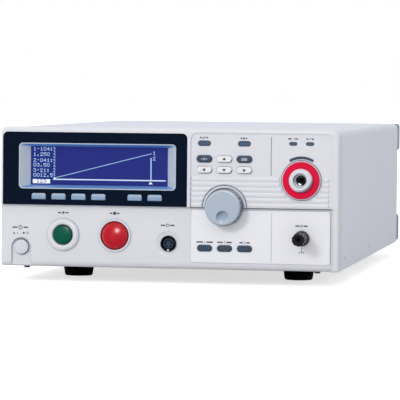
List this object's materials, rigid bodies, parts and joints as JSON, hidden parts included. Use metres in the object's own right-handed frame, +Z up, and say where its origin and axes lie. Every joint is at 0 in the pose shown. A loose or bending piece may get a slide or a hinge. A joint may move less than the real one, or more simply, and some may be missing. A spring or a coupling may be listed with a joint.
{
  "type": "hipot tester",
  "caption": "Bench high-voltage insulation tester: wide pale case with a recessed screen, soft keys, arrow keys, jog dial, start and stop buttons and front terminals.",
  "frame": {"origin": "centre of the bounding box in plan, at the underside of the feet", "axes": "+X right seen from the front, +Y towards the rear, +Z up"},
  "size_m": [0.33, 0.5868, 0.1502],
  "materials": {
    "front_bezel": "moulded",
    "display_panel": "glossy",
    "display_surround": "satin",
    "lcd_glass": "glossy",
    "lcd_module": "satin",
    "terminal_panel": "satin",
    "front_subpanel": "galvanised",
    "key_board": "solder mask",
    "soft_key_board": "solder mask",
    "tact_switches": "matte",
    "indicator_lenses": "diffusing",
    "hv_warning_lens": "diffusing",
    "encoder_body": "turned",
    "encoder_shaft": "turned",
    "jog_dial": "satin",
    "hv_ring": "satin",
    "hv_insulator": "glossy",
    "hv_contact": "plated",
    "return_collar": "satin",
    "return_stud": "plated",
    "nut_insert": "turned",
    "return_nut": "satin",
    "remote_socket": "satin",
    "push_switches": "matte",
    "mains_switch": "matte",
    "start_button": "glossy",
    "stop_button": "glossy",
    "power_button": "satin",
    "top_cover": "textured paint",
    "chassis_base": "galvanised",
    "rear_panel": "textured paint",
    "feet": "matte",
    "rear_bumpers": "moulded",
    "case_screws": "zinc plated",
    "fan_frame": "moulded",
    "fan_rotor": "moulded",
    "fan_guard": "plated wire",
    "mains_inlet": "moulded",
    "fuse_drawer": "moulded",
    "rear_ports": "tin plated",
    "ground_terminal": "turned",
    "mains_transformer": "taped winding",
    "hv_transformer": "laminated",
    "heat_sink": "extruded",
    "circuit_boards": "solder mask",
    "soft_key_1": "satin",
    "soft_key_2": "satin",
    "soft_key_3": "satin",
    "soft_key_4": "satin",
    "soft_key_5": "satin",
    "soft_key_6": "satin",
    "escape_key": "satin",
    "page_key": "satin",
    "mode_key_1": "satin",
    "mode_key_2": "satin",
    "mode_key_3": "satin",
    "up_key": "satin",
    "down_key": "satin",
    "left_key": "satin",
    "right_key": "satin"
  },
  "bodies": {
    "case": {"front_bezel": "front_bezel", "display_panel": "display_panel", "display_surround": "display_surround", "lcd_glass": "lcd_glass", "lcd_module": "lcd_module", "terminal_panel": "terminal_panel", "front_subpanel": "front_subpanel", "key_board": "key_board", "soft_key_board": "soft_key_board", "tact_switches": "tact_switches", "indicator_lenses": "indicator_lenses", "hv_warning_lens": "hv_warning_lens", "encoder_body": "encoder_body", "hv_ring": "hv_ring", "hv_insulator": "hv_insulator", "hv_contact": "hv_contact", "return_collar": "return_collar", "return_stud": "return_stud", "remote_socket": "remote_socket", "push_switches": "push_switches", "mains_switch": "mains_switch", "top_cover": "top_cover", "chassis_base": "chassis_base", "rear_panel": "rear_panel", "feet": "feet", "rear_bumpers": "rear_bumpers", "case_screws": "case_screws", "fan_frame": "fan_frame", "fan_guard": "fan_guard", "mains_inlet": "mains_inlet", "rear_ports": "rear_ports", "ground_terminal": "ground_terminal", "mains_transformer": "mains_transformer", "hv_transformer": "hv_transformer", "heat_sink": "heat_sink", "circuit_boards": "circuit_boards"},
    "soft_key_1": {"soft_key_1": "soft_key_1"},
    "soft_key_2": {"soft_key_2": "soft_key_2"},
    "soft_key_3": {"soft_key_3": "soft_key_3"},
    "soft_key_4": {"soft_key_4": "soft_key_4"},
    "soft_key_5": {"soft_key_5": "soft_key_5"},
    "soft_key_6": {"soft_key_6": "soft_key_6"},
    "escape_key": {"escape_key": "escape_key"},
    "page_key": {"page_key": "page_key"},
    "up_key": {"up_key": "up_key"},
    "down_key": {"down_key": "down_key"},
    "left_key": {"left_key": "left_key"},
    "right_key": {"right_key": "right_key"},
    "mode_key_1": {"mode_key_1": "mode_key_1"},
    "mode_key_2": {"mode_key_2": "mode_key_2"},
    "mode_key_3": {"mode_key_3": "mode_key_3"},
    "start_button": {"start_button": "start_button"},
    "stop_button": {"stop_button": "stop_button"},
    "power_button": {"power_button": "power_button"},
    "dial": {"jog_dial": "jog_dial", "encoder_shaft": "encoder_shaft"},
    "nut_carrier": {"nut_insert": "nut_insert"},
    "post_nut": {"return_nut": "return_nut"},
    "fan": {"fan_rotor": "fan_rotor"},
    "fuse_drawer": {"fuse_drawer": "fuse_drawer"}
  },
  "joints": [
    {"name": "soft_key_1_press", "type": "slide", "parent": "case", "child": "soft_key_1", "axis": [0, 1, 0], "range_m": [0, 0.0012], "stiffness_N_per_m": 150},
    {"name": "soft_key_2_press", "type": "slide", "parent": "case", "child": "soft_key_2", "axis": [0, 1, 0], "range_m": [0, 0.0012], "stiffness_N_per_m": 150},
    {"name": "soft_key_3_press", "type": "slide", "parent": "case", "child": "soft_key_3", "axis": [0, 1, 0], "range_m": [0, 0.0012], "stiffness_N_per_m": 150},
    {"name": "soft_key_4_press", "type": "slide", "parent": "case", "child": "soft_key_4", "axis": [0, 1, 0], "range_m": [0, 0.0012], "stiffness_N_per_m": 150},
    {"name": "soft_key_5_press", "type": "slide", "parent": "case", "child": "soft_key_5", "axis": [0, 1, 0], "range_m": [0, 0.0012], "stiffness_N_per_m": 150},
    {"name": "soft_key_6_press", "type": "slide", "parent": "case", "child": "soft_key_6", "axis": [0, 1, 0], "range_m": [0, 0.0012], "stiffness_N_per_m": 150},
    {"name": "escape_key_press", "type": "slide", "parent": "case", "child": "escape_key", "axis": [0, 1, 0], "range_m": [0, 0.0012], "stiffness_N_per_m": 150},
    {"name": "page_key_press", "type": "slide", "parent": "case", "child": "page_key", "axis": [0, 1, 0], "range_m": [0, 0.0012], "stiffness_N_per_m": 150},
    {"name": "up_key_press", "type": "slide", "parent": "case", "child": "up_key", "axis": [0, 1, 0], "range_m": [0, 0.0012], "stiffness_N_per_m": 150},
    {"name": "down_key_press", "type": "slide", "parent": "case", "child": "down_key", "axis": [0, 1, 0], "range_m": [0, 0.0012], "stiffness_N_per_m": 150},
    {"name": "left_key_press", "type": "slide", "parent": "case", "child": "left_key", "axis": [0, 1, 0], "range_m": [0, 0.0012], "stiffness_N_per_m": 150},
    {"name": "right_key_press", "type": "slide", "parent": "case", "child": "right_key", "axis": [0, 1, 0], "range_m": [0, 0.0012], "stiffness_N_per_m": 150},
    {"name": "mode_key_1_press", "type": "slide", "parent": "case", "child": "mode_key_1", "axis": [0, 1, 0], "range_m": [0, 0.0012], "stiffness_N_per_m": 150},
    {"name": "mode_key_2_press", "type": "slide", "parent": "case", "child": "mode_key_2", "axis": [0, 1, 0], "range_m": [0, 0.0012], "stiffness_N_per_m": 150},
    {"name": "mode_key_3_press", "type": "slide", "parent": "case", "child": "mode_key_3", "axis": [0, 1, 0], "range_m": [0, 0.0012], "stiffness_N_per_m": 150},
    {"name": "start_button_press", "type": "slide", "parent": "case", "child": "start_button", "axis": [0, 1, 0], "range_m": [0, 0.0025], "stiffness_N_per_m": 250},
    {"name": "stop_button_press", "type": "slide", "parent": "case", "child": "stop_button", "axis": [0, 1, 0], "range_m": [0, 0.0025], "stiffness_N_per_m": 250},
    {"name": "power_button_press", "type": "slide", "parent": "case", "child": "power_button", "axis": [0, 1, 0], "range_m": [0, 0.003], "stiffness_N_per_m": 250},
    {"name": "dial_turn", "type": "hinge", "parent": "case", "child": "dial", "pos_m": [0.0548, -0.27155, 0.0751], "axis": [0, -1, 0], "continuous": true},
    {"name": "nut_slide", "type": "slide", "parent": "case", "child": "nut_carrier", "axis": [0, -1, 0], "range_m": [0, 0.004]},
    {"name": "nut_turn", "type": "hinge", "parent": "nut_carrier", "child": "post_nut", "pos_m": [0.1292, -0.27155, 0.0469], "axis": [0, -1, 0], "range_deg": [0, 1440]},
    {"name": "fan_turn", "type": "hinge", "parent": "case", "child": "fan", "pos_m": [0.084, 0.25445, 0.0872], "axis": [0, 1, 0], "continuous": true},
    {"name": "fuse_drawer_pull", "type": "slide", "parent": "case", "child": "fuse_drawer", "axis": [0, 1, 0], "range_m": [0, 0.018]}
  ],
  "couplings": [
    {"joint": "nut_turn", "follows": "nut_slide", "rad_per_m": 6283.2}
  ]
}
